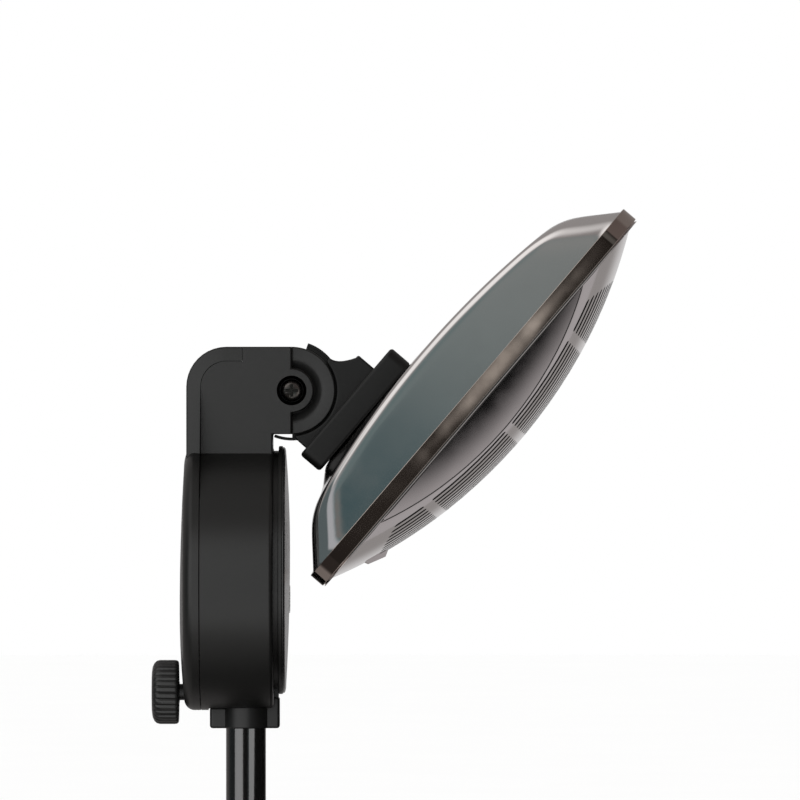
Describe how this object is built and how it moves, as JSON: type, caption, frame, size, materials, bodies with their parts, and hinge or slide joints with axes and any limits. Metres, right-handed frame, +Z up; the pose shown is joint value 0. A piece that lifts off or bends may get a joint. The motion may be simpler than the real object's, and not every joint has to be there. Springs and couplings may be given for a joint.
{
  "type": "standing infrared patio heater",
  "caption": "Standing infrared heater: weighted round base, telescopic pole, swivelling control drum and a tilting head with a polished dish and slotted domed grille.",
  "frame": {"origin": "on the floor, on the pole's axis, at the middle of the base mat's underside", "axes": "+Z up along the pole, +X the way the heater faces, Y along the tilt hinge"},
  "size_m": [0.5064, 0.47, 1.2617],
  "materials": {
    "mat_rubber": "matt moulded rubber",
    "weight_iron": "rough cast",
    "base_paint": "satin black powder coat",
    "pole_paint": "gloss black paint",
    "steel_zinc": "zinc plated",
    "hinge_steel": "black oxide",
    "housing_black": "satin moulded black",
    "knob_black": "satin moulded black",
    "cover_gloss": "gloss black",
    "button_silver": "silver",
    "inner_plastic": "natural moulded",
    "insert_brass": "turned",
    "board_green": "solder resist",
    "dish_polish": "polished, dark tinted",
    "rim_bronze": "dark bronze mirror",
    "grille_polish": "polished",
    "reflector_mirror": "bright rolled",
    "tube_quartz": "ruby tinted quartz",
    "tube_ceramic": "unglazed"
  },
  "bodies": {
    "stand": {"base_mat": "mat_rubber", "base_weight": "weight_iron", "base_cover": "base_paint", "base_flange": "base_paint", "base_bolts": "steel_zinc", "socket_screw": "steel_zinc", "lower_pole": "pole_paint", "pole_clamp": "housing_black"},
    "height_carrier": {"height_pad": "inner_plastic"},
    "height_screw": {"height_knob": "knob_black", "height_stud": "steel_zinc"},
    "mast": {"upper_pole": "pole_paint", "pole_cap": "inner_plastic", "slide_bush": "inner_plastic"},
    "housing": {"main_housing": "housing_black", "rear_cover": "housing_black", "cover_screws": "steel_zinc", "pole_socket": "housing_black", "clamp_insert": "insert_brass", "socket_screws": "steel_zinc", "bezel_ring": "housing_black", "front_cover": "cover_gloss", "power_switch": "inner_plastic", "control_board": "board_green", "board_screws": "steel_zinc", "terminal_block": "inner_plastic", "tip_switch": "inner_plastic", "cable_inlet": "inner_plastic", "hinge_bolt": "hinge_steel", "hinge_nut": "steel_zinc", "hinge_washers": "steel_zinc", "friction_washers": "inner_plastic"},
    "clamp_carrier": {"clamp_pad": "inner_plastic"},
    "clamp_screw": {"clamp_knob": "knob_black", "clamp_stud": "steel_zinc"},
    "button": {"power_button": "button_silver"},
    "head": {"tilt_bracket": "housing_black", "bracket_screws": "steel_zinc", "rear_dish": "dish_polish", "rim_frame": "rim_bronze", "rim_screws": "steel_zinc", "front_grille": "grille_polish", "plain_plate": "grille_polish", "inner_reflector": "reflector_mirror", "tube_brackets": "steel_zinc", "heating_tube_1": "tube_quartz", "heating_tube_2": "tube_quartz", "heating_tube_3": "tube_quartz", "tube_ends": "tube_ceramic", "filaments": "steel_zinc"}
  },
  "joints": [
    {"name": "mast_slide", "type": "slide", "parent": "stand", "child": "mast", "axis": [0, 0, 1], "range_m": [0, 0.6]},
    {"name": "head_swivel", "type": "hinge", "parent": "mast", "child": "housing", "pos_m": [0, 0, 0.9], "axis": [0, 0, 1], "range_deg": [-180, 180]},
    {"name": "head_tilt", "type": "hinge", "parent": "housing", "child": "head", "pos_m": [0.0322, 0, 1.13625], "axis": [0, 1, 0], "range_deg": [-40.5, 0]},
    {"name": "power_press", "type": "slide", "parent": "housing", "child": "button", "axis": [-1, 0, 0], "range_m": [0, 0.002], "stiffness_N_per_m": 400, "springref_m": -0.001},
    {"name": "clamp_back_out", "type": "slide", "parent": "housing", "child": "clamp_carrier", "axis": [-1, 0, 0], "range_m": [0, 0.0025]},
    {"name": "clamp_turn", "type": "hinge", "parent": "clamp_carrier", "child": "clamp_screw", "pos_m": [-0.05, 0, 0.9252], "axis": [-1, 0, 0], "range_deg": [0, 745]},
    {"name": "height_back_out", "type": "slide", "parent": "stand", "child": "height_carrier", "axis": [-1, 0, 0], "range_m": [0, 0.0025]},
    {"name": "height_turn", "type": "hinge", "parent": "height_carrier", "child": "height_screw", "pos_m": [-0.05, 0, 0.772], "axis": [-1, 0, 0], "range_deg": [0, 745]}
  ],
  "couplings": [
    {"joint": "clamp_turn", "follows": "clamp_back_out", "rad_per_m": 5026.5},
    {"joint": "height_turn", "follows": "height_back_out", "rad_per_m": 5026.5}
  ]
}
